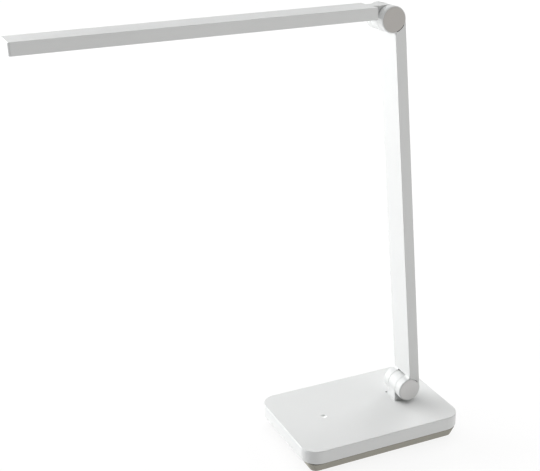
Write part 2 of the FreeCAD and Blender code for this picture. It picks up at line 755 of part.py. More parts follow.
# Power socket: a drawn metal shell with its contact tongue.
sock = new_body("power_socket")
sw, sh = dim("socket_half_width"), dim("socket_half_height")
mouth = half_d - 0.5
sk = new_sketch(sock, "XZ_Plane", -mouth)
rounded(sk, -sw, sw, -sh, sh, sh - 0.05)
pad(sock, sk, 8.6)
sk = new_sketch(sock, "XZ_Plane", -mouth)
rounded(sk, 0.3 - sw, sw - 0.3, 0.3 - sh, sh - 0.3, sh - 0.4)
pocket(sock, sk, 6.6, flip=True)
sk = new_sketch(sock, "XZ_Plane", 6.8 - mouth)
rectangle(sk, -3.3, 3.3, -0.35, 0.35)
pad(sock, sk, 5.6, flip=True)
place(sock, dim("socket_x"), 0.0, socket_z)

# Lead from the board's plug into the post.
bz0 = board_top.value + 2.0
lead("base_lead", [(33.0, 0.0, bz0), (39.0, 0.0, bz0), (46.0, 0.0, bz0 - 0.6),
                   (given["hinge_x"] - 2.0, 0.0, bz0 + 0.2), (given["hinge_x"], 0.0, bz0 + 5.0),
                   (given["hinge_x"], 0.0, given["hinge_z"] - 5.4)], 1.1)

# --------------------------------------------------------------------------
# Hinge hardware: the same set at both ends of the arm, in the arm's frame
# --------------------------------------------------------------------------
lean = dim("arm_lean")
span = dim("arm_span")
pin_r = dim("pin_radius")
web = dim("web_face")
seat = dim("cap_seat")
face = dim("cap_face")


def spun(name, rings):
    """One piece turned about the hinge axis from a ring of (radius, y) points."""
    body = new_body(name)
    sk = new_sketch(body, "XY_Plane")
    polygon(sk, rings)
    revolve(body, sk)
    return body


def set_on_arm(obj, up):
    """Place a piece of the arm's frame; up: it belongs to the upper hinge."""
    angle = math.radians(lean.value)
    rise = span.value if up else 0.0
    obj.Placement = FreeCAD.Placement(
        V(hx.value - rise * math.sin(angle), 0, hz.value + rise * math.cos(angle)),
        FreeCAD.Rotation(V(0, -1, 0), lean.value))
    if up:
        obj.setExpression("Placement.Base.x", "Sizes.hinge_x - Sizes.arm_span * sin(Sizes.arm_lean * 1 deg)")
        obj.setExpression("Placement.Base.z", "Sizes.hinge_z + Sizes.arm_span * cos(Sizes.arm_lean * 1 deg)")
    else:
        obj.setExpression("Placement.Base.x", "Sizes.hinge_x")
        obj.setExpression("Placement.Base.z", "Sizes.hinge_z")


for level, up in (("lower", False), ("upper", True)):
    # Hollow pin: flanged head at the front, threaded end at the back.
    pin = spun(level + "_hinge_pin",
               [(dim("pin_bore"), -web - 2.2), (6.6, -web - 2.2), (6.6, -web), (pin_r, -web),
                (pin_r, web + 2.9), (dim("pin_bore"), web + 2.9)])
    sk = new_sketch(pin, "XY_Plane")
    circle(sk, 0.0, 0.0, 1.4)
    pocket(pin, sk, 30.0, both=True)
    round_edges(pin, 0.3, lambda e: near(e.BoundBox.YMin, -given["web_face"] - 2.2, 0.01)
                and near(e.BoundBox.YMax, -given["web_face"] - 2.2, 0.01) and e.BoundBox.XLength > 12,
                bevel=True)
    set_on_arm(pin, up)

    # Nylon washers in the gaps beside the knuckle.
    front = loose("Part::Cylinder", level + "_w1", Radius=9.0, Height=dim("fork_inner") - kh - 0.05)
    front_hole = loose("Part::Cylinder", level + "_w1h", Radius=pin_r + 0.05, Height=3.0)
    rear = loose("Part::Cylinder", level + "_w2", Radius=9.0, Height=dim("fork_inner") - kh - 0.05)
    rear_hole = loose("Part::Cylinder", level + "_w2h", Radius=pin_r + 0.05, Height=3.0)
    flat = FreeCAD.Rotation(V(1, 0, 0), 90)
    front.Placement = FreeCAD.Placement(V(0, -given["knuckle_half"] - 0.05, 0), flat)
    front_hole.Placement = FreeCAD.Placement(V(0, -given["knuckle_half"] + 1.0, 0), flat)
    rear.Placement = FreeCAD.Placement(V(0, given["fork_inner"], 0), flat)
    rear_hole.Placement = FreeCAD.Placement(V(0, given["fork_inner"] + 1.0, 0), flat)
    pair = group_of(level + "_friction_washers",
                    [cut_of(level + "_w1c", front, front_hole), cut_of(level + "_w2c", rear, rear_hole)])
    set_on_arm(pair, up)

    # Two cupped spring washers, back to back, under the nut.
    cups = []
    for k, ring in enumerate(([(3.7, 0.22), (7.2, 0.0), (7.2, 0.16), (3.7, 0.38)],
                              [(3.7, 0.42), (7.2, 0.64), (7.2, 0.8), (3.7, 0.58)])):
        pts = [V(r, web.value + y, 0) for r, y in ring]
        profile = Part.Face(Part.makePolygon(pts + [pts[0]]))
        cup = doc.addObject("Part::Feature", "%s_cup%d" % (level, k))
        cup.Shape = profile.revolve(V(0, 0, 0), V(0, 1, 0), 360)
        cup.Visibility = False
        cups.append(cup)
    set_on_arm(group_of(level + "_spring_washers", cups), up)

    # Lock nut, hexagonal with a round collar.
    nut = new_body(level + "_hinge_nut")
    sk = new_sketch(nut, "XZ_Plane", -web - 0.8)
    polygon(sk, [(6.3 * math.cos(math.radians(60 * k)), 6.3 * math.sin(math.radians(60 * k))) for k in range(6)])
    pad(nut, sk, 1.6, flip=True)
    sk = new_sketch(nut, "XZ_Plane", -web - 2.3)
    circle(sk, 0.0, 0.0, 5.2)
    pad(nut, sk, 0.6, flip=True)
    sk = new_sketch(nut, "XZ_Plane")
    circle(sk, 0.0, 0.0, pin_r)
    pocket(nut, sk, 60.0, both=True)
    set_on_arm(nut, up)

    # Pressed-in caps: dished inside, slightly proud of the ring, soft edge.
    cr = dim("cap_radius")
    for tag, side in (("front", -1), ("rear", 1)):
        cap = spun(level + "_cap_" + tag,
                   [(0.0, (face - 0.9) * side), (8.6, (face - 0.9) * side), (8.6, seat * side),
                    (cr, seat * side), (cr, (face - 0.35) * side), (cr - 0.12, (face - 0.13) * side),
                    (cr - 0.4, (face - 0.02) * side), (cr - 1.0, face * side), (0.0, face * side)])
        set_on_arm(cap, up)

# --------------------------------------------------------------------------
# Arm, in the arm's frame
# --------------------------------------------------------------------------
arm = new_body("arm_channel")
bh = dim("bar_half")
xi, xo = dim("bar_inner"), dim("bar_outer")
sk = new_sketch(arm, "XZ_Plane")
rectangle(sk, xi, xo, 0.0, span)
pad(arm, sk, bh * 2, both=True)
round_edges(arm, dim("bar_round"), lambda e: e.BoundBox.ZLength > 300)
ring = dim("ring_face")
soft = dim("ring_round")
for z in (size(0.0), span):
    sk = new_sketch(arm, "XZ_Plane")
    circle(sk, 0.0, z, R)
    pad(arm, sk, (ring - soft - 0.2) * 2, both=True)
# Soft crease between each barrel and the inner face.
cr3 = dim("crease_round")
ccx = xi - cr3
ccz = ((R + cr3) * (R + cr3) - ccx * ccx).root()
tbx, tbz = ccx * R / (R + cr3), ccz * R / (R + cr3)
for low_end in (True, False):
    def zed(q):
        return size(q) if low_end else span - q
    sk = new_sketch(arm, "XZ_Plane")
    g = sk.GeometryCount
    a0 = math.atan2(tbz.value - ccz.value, tbx.value - ccx.value)
    circ = Part.Circle(V(ccx.value, zed(ccz).value, 0), V(0, 0, 1), cr3.value)
    if low_end:
        sk.addGeometry(Part.ArcOfCircle(circ, a0, 0.0))
    else:
        sk.addGeometry(Part.ArcOfCircle(circ, 0.0, -a0))
    ps, pe = (1, 2) if low_end else (2, 1)
    tb = V(tbx.value, zed(tbz).value, 0)
    ta = V(xi.value, zed(ccz).value, 0)
    tc = V(5.0, zed(5.0).value, 0)
    sk.addGeometry(Part.LineSegment(tb, tc))
    sk.addGeometry(Part.LineSegment(tc, ta))
    hold(sk, Sketcher.Constraint("Coincident", g, ps, g + 1, 1))
    hold(sk, Sketcher.Constraint("Coincident", g + 1, 2, g + 2, 1))
    hold(sk, Sketcher.Constraint("Coincident", g + 2, 2, g, pe))
    hold(sk, Sketcher.Constraint("Radius", g, cr3.value), cr3)
    at_x(sk, g, 3, ccx)
    at_y(sk, g, 3, zed(ccz))
    at_x(sk, g + 1, 1, tbx)
    at_y(sk, g + 2, 2, zed(ccz))
    at_x(sk, g + 1, 2, 5.0)
    at_y(sk, g + 1, 2, zed(5.0))
    pad(arm, sk, (bh - dim("bar_round")) * 2, both=True)
# Fork slots for the knuckles.
for z in (size(0.0), span):
    sk = new_sketch(arm, "XZ_Plane")
    circle(sk, 0.0, z, dim("slot_radius"))
    pocket(arm, sk, dim("fork_inner") * 2, both=True)
# Rings with a well rounded edge that stand proud of the sides and hold the caps.
for z in (size(0.0), span):
    for side in (-1, 1):
        sk = new_sketch(arm, "XY_Plane", z)
        deep, near_y = (ring - soft - 0.4) * side, (ring - soft) * side
        x9 = size(9.0)
        g = sk.GeometryCount
        q = soft.value
        turn = (0, 90) if side > 0 else (-90, 0)
        sk.addGeometry(Part.ArcOfCircle(Part.Circle(V(R.value - q, near_y.value, 0), V(0, 0, 1), q),
                                        math.radians(turn[0]), math.radians(turn[1])))
        at_barrel, at_face = (1, 2) if side > 0 else (2, 1)
        corner_pts = [(x9.value, ring.value * side), (x9.value, deep.value), (R.value, deep.value)]
        sk.addGeometry(Part.LineSegment(V(R.value - q, ring.value * side, 0), V(*corner_pts[0], 0)))
        sk.addGeometry(Part.LineSegment(V(*corner_pts[0], 0), V(*corner_pts[1], 0)))
        sk.addGeometry(Part.LineSegment(V(*corner_pts[1], 0), V(*corner_pts[2], 0)))
        sk.addGeometry(Part.LineSegment(V(*corner_pts[2], 0), V(R.value, near_y.value, 0)))
        hold(sk, Sketcher.Constraint("Coincident", g, at_face, g + 1, 1))
        hold(sk, Sketcher.Constraint("Coincident", g + 1, 2, g + 2, 1))
        hold(sk, Sketcher.Constraint("Coincident", g + 2, 2, g + 3, 1))
        hold(sk, Sketcher.Constraint("Coincident", g + 3, 2, g + 4, 1))
        hold(sk, Sketcher.Constraint("Coincident", g + 4, 2, g, at_barrel))
        hold(sk, Sketcher.Constraint("Radius", g, q), soft)
        at_x(sk, g, 3, R - soft)
        at_y(sk, g, 3, near_y)
        at_y(sk, g, at_barrel, near_y)
        at_x(sk, g, at_face, R - soft)
        hold(sk, Sketcher.Constraint("Horizontal", g + 1))
        at_x(sk, g + 1, 2, x9)
        at_x(sk, g + 2, 2, x9)
        at_y(sk, g + 2, 2, deep)
        hold(sk, Sketcher.Constraint("Horizontal", g + 3))
        hold(sk, Sketcher.Constraint("Vertical", g + 4))
        revolve(arm, sk)


def arc_band(sk, zc, r0, r1, a, b):
    """Sector of a ring between two radii and two angles, degrees."""
    g = sk.GeometryCount
    ra, rb = math.radians(a), math.radians(b)
    for r in (r0, r1):
        sk.addGeometry(Part.ArcOfCircle(Part.Circle(V(0, zc.value, 0), V(0, 0, 1), r.value), ra, rb))
    for ang in (ra, rb):
        sk.addGeometry(Part.LineSegment(
            V(r0.value * math.cos(ang), zc.value + r0.value * math.sin(ang), 0),
            V(r1.value * math.cos(ang), zc.value + r1.value * math.sin(ang), 0)))
    hold(sk, Sketcher.Constraint("Coincident", g, 1, g + 2, 1))
    hold(sk, Sketcher.Constraint("Coincident", g + 1, 1, g + 2, 2))
    hold(sk, Sketcher.Constraint("Coincident", g, 2, g + 3, 1))
    hold(sk, Sketcher.Constraint("Coincident", g + 1, 2, g + 3, 2))
    hold(sk, Sketcher.Constraint("Radius", g, r0.value), r0)
    hold(sk, Sketcher.Constraint("Radius", g + 1, r1.value), r1)
    at_x(sk, g, 3, 0.0)
    at_y(sk, g, 3, zc)
    hold(sk, Sketcher.Constraint("Coincident", g, 3, g + 1, 3))
    for which, r in ((g, r0), (g + 1, r1)):
        at_y(sk, which, 1, zc + r * math.sin(ra))
        at_y(sk, which, 2, zc + r * math.sin(rb))


# Raised soft arcs where the rings run into the arm's sides.
bead_top = ring - 0.1
for low_end in (True, False):
    for side in (-1, 1):
        sk = new_sketch(arm, "XZ_Plane", (bh - 0.3) * -side)
        zc = size(0.0) if low_end else span
        a, b = (30.0, 80.0) if low_end else (-80.0, -30.0)
        arc_band(sk, zc, R - 0.6, dim("bead_radius"), a, b)
        pad(arm, sk, bead_top - bh + 0.3, flip=side > 0)
reach = given["bead_radius"]
round_edges(arm, 0.34, lambda e: near(abs(e.BoundBox.YMin), bead_top.value, 0.005)
            and near(e.BoundBox.YLength, 0.0, 0.005)
            and e.Curve.TypeId == "Part::GeomCircle" and near(e.Curve.Radius, reach, 0.01))
# Pin bores, cap seats and nut recesses.
for z in (size(0.0), span):
    sk = new_sketch(arm, "XZ_Plane")
    circle(sk, 0.0, z, pin_r)
    pocket(arm, sk, 60.0, both=True)
    for side in (-1, 1):
        sk = new_sketch(arm, "XZ_Plane", dim("ring_face") * -side)
        circle(sk, 0.0, z, dim("cap_radius") + dim("cap_play"))
        pocket(arm, sk, dim("ring_face") - seat, flip=side > 0)
        sk = new_sketch(arm, "XZ_Plane", seat * -side)
        circle(sk, 0.0, z, dim("recess_radius"))
        pocket(arm, sk, seat - web, flip=side > 0)
# Arc-shaped gaps between each cap and the arm's sides.
for low_end in (True, False):
    for side in (-1, 1):
        sk = new_sketch(arm, "XZ_Plane", (ring + 0.1) * -side)
        zc = size(0.0) if low_end else span
        a, b = (32.0, 78.0) if low_end else (-78.0, -32.0)
        arc_band(sk, zc, dim("cap_radius") - 0.1, dim("cap_radius") + 0.65, a, b)
        pocket(arm, sk, 2.9, flip=side > 0)
# Hollow of the arm, seat of its cover, and lead holes into the rear recesses.
sk = new_sketch(arm, "YZ_Plane", xo + 0.5)
rounded(sk, -dim("channel_half"), dim("channel_half"), dim("channel_end"), span - dim("channel_end"), 2.0)
pocket(arm, sk, xo + 0.5 - xi - dim("channel_wall"))
sk = new_sketch(arm, "YZ_Plane", xo + 0.5)
rounded(sk, -dim("cover_half"), dim("cover_half"), dim("cover_end"), span - dim("cover_end"), 2.4)
pocket(arm, sk, dim("cover_thick") + 0.5)
lead_y = 14.15
sk = new_sketch(arm, "XY_Plane", 4.0)
circle(sk, 6.6, lead_y, 1.15)
pocket(arm, sk, dim("channel_end") - 3.0, flip=True)
sk = new_sketch(arm, "XY_Plane", span - 4.0)
circle(sk, 6.6, lead_y, 1.15)
pocket(arm, sk, dim("channel_end") - 3.0)
# Side pockets where the lead turns into the hollow.
sk = new_sketch(arm, "YZ_Plane", xo + 0.5)
rectangle(sk, 12.9, 15.35, 19.4, 40.0)
rectangle(sk, 12.9, 15.35, span - 40.0, span - 19.4)
pocket(arm, sk, xo + 0.5 - 5.2)
# Catches in the hollow's side walls for the cover's clips.
CLIPS = [60.0, 160.0, 260.0, 360.0]
CLIP_LOW, CLIP_HIGH = 8.6, 9.7
for side in (-1, 1):
    sk = new_sketch(arm, "XZ_Plane", 13.9 * -side)
    for z in CLIPS:
        rectangle(sk, CLIP_LOW - 0.1, CLIP_HIGH + 0.1, z - 4.2, z + 4.2)
    pocket(arm, sk, 0.95, flip=side < 0)
set_on_arm(arm, False)

cover = new_body("arm_cover")
cg = 0.12
sk = new_sketch(cover, "YZ_Plane", xo - dim("cover_thick"))
rounded(sk, cg - dim("cover_half"), dim("cover_half") - cg,
        dim("cover_end") + cg, span - dim("cover_end") - cg, 2.4 - cg)
pad(cover, sk, dim("cover_thick"))
round_edges(cover, 0.3, lambda e: near(e.BoundBox.XMin, given["bar_outer"], 0.01)
            and near(e.BoundBox.XLength, 0.0, 0.01))
sk = new_sketch(cover, "YZ_Plane", xo - dim("cover_thick") - 3.2)
for z in CLIPS:
    for s in (-1, 1):
        rectangle(sk, s * 13.3 - 0.6, s * 13.3 + 0.6, z - 4.0, z + 4.0)
pad(cover, sk, 3.4)
for side in (-1, 1):
    sk = new_sketch(cover, "XZ_Plane", 13.7 * -side)
    for z in CLIPS:
        rectangle(sk, CLIP_LOW, CLIP_HIGH, z - 3.8, z + 3.8)
    pad(cover, sk, 0.9, flip=side > 0)
set_on_arm(cover, False)

# Two-core lead through the arm's hollow.
arm_lead = lead("arm_lead", [(6.6, lead_y, 6.0), (6.6, lead_y, 27.0), (6.0, 9.0, 48.0), (5.2, 4.0, 82.0),
                             (5.2, -1.5, 140.0), (5.0, 1.5, 205.0), (5.2, -1.0, 270.0),
                             (5.2, 3.5, 333.0), (6.0, 9.0, 370.6), (6.6, lead_y, 391.4),
                             (6.6, lead_y, 412.4)], 1.0)
set_on_arm(arm_lead, False)

# --------------------------------------------------------------------------
# Head, in the head's frame
# --------------------------------------------------------------------------
x_up = "Sizes.hinge_x - Sizes.arm_span * sin(Sizes.arm_lean * 1 deg)"
z_up = "Sizes.hinge_z + Sizes.arm_span * cos(Sizes.arm_lean * 1 deg)"


def set_on_head(obj):
    angle = math.radians(lean.value)
    shift = V(hx.value - span.value * math.sin(angle), 0, hz.value + span.value * math.cos(angle))
    obj.Placement = FreeCAD.Placement(shift + obj.Placement.Base, obj.Placement.Rotation)
    if obj.TypeId == "PartDesign::Body":
        obj.setExpression("Placement.Base.x", x_up)
        obj.setExpression("Placement.Base.z", z_up)


hs, he = dim("head_start"), dim("head_end")
head = new_body("head_housing")
sk = new_sketch(head, "XZ_Plane")
rectangle(sk, -he, -hs, xi, xo)
pad(head, sk, bh * 2, both=True)
round_edges(head, dim("head_corner"),
            lambda e: near(e.BoundBox.XMin, -given["head_end"]) and near(e.BoundBox.XLength, 0.0)
            and near(e.BoundBox.YLength, 0.0))
round_edges(head, dim("bar_round"), lambda e: flat_at(e, given["bar_outer"]))
sk = new_sketch(head, "XZ_Plane")
rectangle(sk, -hs - 2.0, 0.0, xi, xo)
pad(head, sk, kh * 2, both=True)
sk = new_sketch(head, "XZ_Plane")
circle(sk, 0.0, 0.0, R)
pad(head, sk, kh * 2, both=True)
# Opening for the lens with a ledge, and the hollow above it.
ls, le = dim("lens_start"), dim("lens_end")
sk = new_sketch(head, "XY_Plane", xi)
rounded(sk, -le, -ls, -dim("lens_half"), dim("lens_half"), 1.6)
pocket(head, sk, dim("lens_thick") + 0.05, flip=True)
sk = new_sketch(head, "XY_Plane", xi)
rounded(sk, 1.4 - le, -ls - 1.4, 1.4 - dim("lens_half"), dim("lens_half") - 1.4, 1.2)
pocket(head, sk, xo - xi - dim("head_skin"), flip=True)
# Posts for the light board's screws.
HEAD_POSTS = [-60.0, -196.0, -332.0]
sk = new_sketch(head, "XY_Plane", 9.6)
for x in HEAD_POSTS:
    circle(sk, x, 0.0, 2.4)
pad(head, sk, xo - 9.6 - 1.0)
sk = new_sketch(head, "XY_Plane", 9.6)
for x in HEAD_POSTS:
    circle(sk, x, 0.0, 0.9)
pocket(head, sk, 1.9, flip=True)
# Pin bore and lead passage through the knuckle.
sk = new_sketch(head, "XZ_Plane")
circle(sk, 0.0, 0.0, pin_r + dim("pin_play"))
pocket(head, sk, 60.0, both=True)
sk = new_sketch(head, "YZ_Plane", 0.0)
circle(sk, 0.0, 4.6, 1.4)
pocket(head, sk, 26.0)
set_on_head(head)

# Aluminium bar that carries the light board and spreads its heat.
spread = new_body("heat_spreader")
sk = new_sketch(spread, "XY_Plane", 8.1)
rounded(sk, 2.2 - le, -ls - 2.2, -13.2, 13.2, 1.0)
for x in HEAD_POSTS:
    circle(sk, x, 0.0, 1.1)
pad(spread, sk, 1.5)
set_on_head(spread)

strip = new_body("led_board")
sk = new_sketch(strip, "XY_Plane", 7.1)
rounded(sk, 4.0 - le, -ls - 4.0, -9.0, 9.0, 1.0)
for x in HEAD_POSTS:
    circle(sk, x, 0.0, 1.1)
pad(strip, sk, 1.0)
set_on_head(strip)

emitters = []
n_led = int(given["led_count"])
for k in range(n_led):
    xc = (ls + le) / -2 + dim("led_pitch") * (k - (n_led - 1) / 2.0)
    if min(abs(xc.value - x) for x in HEAD_POSTS) < 4.0:
        continue
    emitters.append(block(fresh("emitter"), xc - 1.4, xc + 1.4, -1.75, 1.75, 6.3, 7.1))
leds = group_of("leds", emitters)
set_on_head(leds)

lens = new_body("diffuser")
lg = 0.1
sk = new_sketch(lens, "XY_Plane", xi)
rounded(sk, lg - le, -ls - lg, lg - dim("lens_half"), dim("lens_half") - lg, 1.5)
pad(lens, sk, dim("lens_thick"))
round_edges(lens, 0.3, lambda e: flat_at(e, given["bar_inner"]))
set_on_head(lens)

fixings = group_of("head_screws", [screw(x, 0.0, 7.1, 1.9, 1.1, 0.9, 2.5 + 1.7, True) for x in HEAD_POSTS])
set_on_head(fixings)

head_lead = lead("head_lead", [(-2.0, 0.0, 4.6), (-25.0, 0.0, 4.6), (-36.0, 3.0, 5.2),
                               (-46.0, 5.0, 6.0)], 1.0)
set_on_head(head_lead)

# --------------------------------------------------------------------------
# Checks and files
# --------------------------------------------------------------------------
doc.recompute()
for obj in doc.Objects:
    if "Invalid" in obj.State or "Error" in obj.State:
        raise RuntimeError("%s is in state %s" % (obj.Name, obj.State))
labels = [p.Label for p in subparts]
if len(set(labels)) != len(labels) or len(labels) > 60:
    raise RuntimeError("sub-part names are wrong")
os.makedirs("parts", exist_ok=True)
for part in subparts:
    shape = part.Shape
    if shape.isNull() or not shape.isValid() or not shape.Solids:
        raise RuntimeError("%s is not a valid solid" % part.Label)
for part in subparts:
    shape = part.Shape
    box = shape.BoundBox
    print("%-26s solids %2d volume %10.1f  x %8.2f %8.2f  y %7.2f %7.2f  z %7.2f %7.2f" % (
        part.Label, len(shape.Solids), shape.Volume, box.XMin, box.XMax, box.YMin, box.YMax,
        box.ZMin, box.ZMax))
    shape.exportStep("parts/%s.step" % part.Label)
print(len(subparts), "sub-parts written")
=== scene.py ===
import math

import bpy
from mathutils import Matrix, Vector

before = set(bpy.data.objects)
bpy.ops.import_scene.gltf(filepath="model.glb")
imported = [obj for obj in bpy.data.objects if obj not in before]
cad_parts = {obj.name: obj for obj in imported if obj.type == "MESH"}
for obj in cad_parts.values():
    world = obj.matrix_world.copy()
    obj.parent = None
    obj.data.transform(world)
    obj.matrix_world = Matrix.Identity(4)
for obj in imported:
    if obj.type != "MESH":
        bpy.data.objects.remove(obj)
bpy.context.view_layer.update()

scene = bpy.context.scene

# --------------------------------------------------------------------------
# Camera
# --------------------------------------------------------------------------
yaw, pitch, roll = 0.410045, 0.371886, -0.020679
focal_px = 1048.55
fwd = Vector((math.sin(yaw) * math.cos(pitch), math.cos(yaw) * math.cos(pitch), -math.sin(pitch)))
right = Vector((math.cos(yaw), -math.sin(yaw), 0.0))
up = right.cross(fwd)
right2 = math.cos(roll) * right + math.sin(roll) * up
up2 = -math.sin(roll) * right + math.cos(roll) * up
cam_data = bpy.data.cameras.new("camera")
cam_data.sensor_width = 36.0
cam_data.sensor_fit = "HORIZONTAL"
cam_data.lens = focal_px / 540.0 * 36.0
cam_data.clip_start, cam_data.clip_end = 0.05, 60.0
cam = bpy.data.objects.new("camera", cam_data)
scene.collection.objects.link(cam)
cam.matrix_world = Matrix((
    (right2.x, up2.x, -fwd.x, -0.49927),
    (right2.y, up2.y, -fwd.y, -0.90724),
    (right2.z, up2.z, -fwd.z, 0.63931),
    (0, 0, 0, 1)))
scene.camera = cam

# --------------------------------------------------------------------------
# Light
# --------------------------------------------------------------------------
scene.view_settings.view_transform = "Standard"
scene.view_settings.look = "None"
scene.view_settings.exposure = 0.0
scene.view_settings.gamma = 1.0

world = bpy.data.worlds.new("studio")
scene.world = world
world.use_nodes = True
world.node_tree.nodes["Background"].inputs["Color"].default_value = (1.0, 1.0, 1.0, 1.0)
back = world.node_tree.nodes["Background"]
# Pale backdrop low round the horizon, dark studio above it.
direction = world.node_tree.nodes.new("ShaderNodeTexCoord")
height = world.node_tree.nodes.new("ShaderNodeSeparateXYZ")
fade = world.node_tree.nodes.new("ShaderNodeMapRange")
fade.interpolation_type = "SMOOTHSTEP"
fade.inputs["From Min"].default_value, fade.inputs["From Max"].default_value = 0.14, 0.26
fade.inputs["To Min"].default_value, fade.inputs["To Max"].default_value = 0.45, 0.02
world.node_tree.links.new(direction.outputs["Generated"], height.inputs[0])
world.node_tree.links.new(height.outputs[2], fade.inputs["Value"])
world.node_tree.links.new(fade.outputs["Result"], back.inputs["Strength"])


def softbox(name, where, target, width, height, power, colour=(1, 1, 1)):
    data = bpy.data.lights.new(name, "AREA")
    data.shape = "RECTANGLE"
    data.size, data.size_y = width, height
    data.energy = power
    data.color = colour
    obj = bpy.data.objects.new(name, data)
    scene.collection.objects.link(obj)
    obj.location = where
    obj.rotation_mode = "QUATERNION"
    obj.rotation_quaternion = (Vector(target) - Vector(where)).to_track_quat("-Z", "Y")
    return obj


softbox("left_back_box", (-2.6, 2.2, 0.7), (0.0, 0.0, 0.2), 2.0, 1.0, 88.0)
softbox("back_box", (-1.3, 3.3, 1.6), (0.0, 0.0, 0.2), 2.6, 1.8, 102.0)
softbox("top_box", (0.0, 0.6, 3.3), (0.0, 0.0, 0.2), 3.6, 3.6, 86.0)
softbox("right_back_box", (2.8, 1.8, 1.2), (0.0, 0.0, 0.2), 2.2, 1.8, 60.0)
softbox("right_front_box", (2.3, -2.5, 1.0), (0.0, 0.0, 0.2), 1.8, 1.4, 30.0, (1.0, 0.975, 0.94))


# --------------------------------------------------------------------------
# Materials
# --------------------------------------------------------------------------
class Mat:
    """A small helper round a node material. Coordinates are the object's own, in metres."""

    def __init__(self, name, colour, rough, **sockets):
        self.m = bpy.data.materials.new(name)
        self.m.use_nodes = True
        self.t = self.m.node_tree
        self.p = self.t.nodes["Principled BSDF"]
        self.p.inputs["Base Color"].default_value = (*colour, 1.0)
        self.p.inputs["Roughness"].default_value = rough
        for key, value in sockets.items():
            self.p.inputs[key.replace("_", " ")].default_value = value
        self.coord = self.node("ShaderNodeTexCoord")
        self.normal = None
        self.axes = None

    def node(self, kind, **props):
        n = self.t.nodes.new(kind)
        for key, value in props.items():
            setattr(n, key, value)
        return n

    def link(self, a, b):
        self.t.links.new(a, b)

    def feed(self, socket, value):
        if isinstance(value, (int, float)):
            socket.default_value = value
        elif isinstance(value, tuple):
            socket.default_value = value if len(value) == 3 and socket.type == "VECTOR" else (*value, 1.0)
        else:
            self.link(value, socket)

    def place(self, stretch=None, shift=None):
        if stretch is None and shift is None:
            return self.coord.outputs["Object"]
        mp = self.node("ShaderNodeMapping")
        mp.inputs["Scale"].default_value = stretch or (1, 1, 1)
        mp.inputs["Location"].default_value = shift or (0, 0, 0)
        self.link(self.coord.outputs["Object"], mp.inputs["Vector"])
        return mp.outputs["Vector"]

    def noise(self, scale, detail=2.0, rough=0.5, stretch=None, shift=None):
        n = self.node("ShaderNodeTexNoise")
        n.inputs["Scale"].default_value = scale
        n.inputs["Detail"].default_value = detail
        n.inputs["Roughness"].default_value = rough
        self.link(self.place(stretch, shift), n.inputs["Vector"])
        return n.outputs["Fac"]

    def cells(self, scale, feature="F1", stretch=None):
        n = self.node("ShaderNodeTexVoronoi", feature=feature)
        n.inputs["Scale"].default_value = scale
        self.link(self.place(stretch), n.inputs["Vector"])
        return n.outputs["Distance"]

    def cell_tone(self, scale, stretch=None):
        """A random grey for each cell."""
        n = self.node("ShaderNodeTexVoronoi")
        n.inputs["Scale"].default_value = scale
        self.link(self.place(stretch), n.inputs["Vector"])
        sep = self.node("ShaderNodeSeparateColor")
        self.link(n.outputs["Color"], sep.inputs[0])
        return sep.outputs[0]

    def axis(self, k):
        if self.axes is None:
            self.axes = self.node("ShaderNodeSeparateXYZ")
            self.link(self.coord.outputs["Object"], self.axes.inputs[0])
        return self.axes.outputs[k]

    def span(self, source, lo, hi, a=0.0, b=1.0, smooth=False):
        n = self.node("ShaderNodeMapRange", clamp=True)
        if smooth:
            n.interpolation_type = "SMOOTHSTEP"
        n.inputs["From Min"].default_value = lo
        n.inputs["From Max"].default_value = hi
        n.inputs["To Min"].default_value = a
        n.inputs["To Max"].default_value = b
        self.link(source, n.inputs["Value"])
        return n.outputs["Result"]

    def math(self, op, a, b=0.0, c=None):
        n = self.node("ShaderNodeMath", operation=op)
        for k, v in enumerate((a, b) if c is None else (a, b, c)):
            self.feed(n.inputs[k], v)
        return n.outputs["Value"]

    def within(self, k, lo, hi, soft=0.00005):
        """1 where coordinate k lies between lo and hi."""
        q = self.axis(k)
        return self.math("MULTIPLY", self.span(q, lo - soft, lo + soft), self.span(q, hi - soft, hi + soft, 1.0, 0.0))

    def away(self, x, y, z, flat=(1, 1, 1)):
        """Distance from a point, with some axes left out."""
        sub = self.node("ShaderNodeVectorMath", operation="SUBTRACT")
        self.link(self.coord.outputs["Object"], sub.inputs[0])
        sub.inputs[1].default_value = (x, y, z)
        mul = self.node("ShaderNodeVectorMath", operation="MULTIPLY")
        self.link(sub.outputs[0], mul.inputs[0])
        mul.inputs[1].default_value = flat
        length = self.node("ShaderNodeVectorMath", operation="LENGTH")
        self.link(mul.outputs[0], length.inputs[0])
        return length.outputs["Value"]

    def facing(self, direction):
        """Dot product of the surface normal, in the object's frame, with a direction."""
        dot = self.node("ShaderNodeVectorMath", operation="DOT_PRODUCT")
        self.link(self.coord.outputs["Normal"], dot.inputs[0])
        dot.inputs[1].default_value = direction
        return dot.outputs["Value"]

    def mix(self, fac, a, b):
        n = self.node("ShaderNodeMix", data_type="RGBA")
        self.feed(n.inputs["Factor"], fac)
        self.feed(n.inputs[6], a)
        self.feed(n.inputs[7], b)
        return n.outputs[2]

    def edge(self, radius, samples=4, full=0.22):
        """How much the surface turns within a small distance: 0 on flats, up to 1 on edges."""
        bevel = self.node("ShaderNodeBevel", samples=samples)
        bevel.inputs["Radius"].default_value = radius
        geo = self.node("ShaderNodeNewGeometry")
        dot = self.node("ShaderNodeVectorMath", operation="DOT_PRODUCT")
        self.link(bevel.outputs["Normal"], dot.inputs[0])
        self.link(geo.outputs["Normal"], dot.inputs[1])
        return self.span(self.math("SUBTRACT", 1.0, dot.outputs["Value"]), 0.0, full)

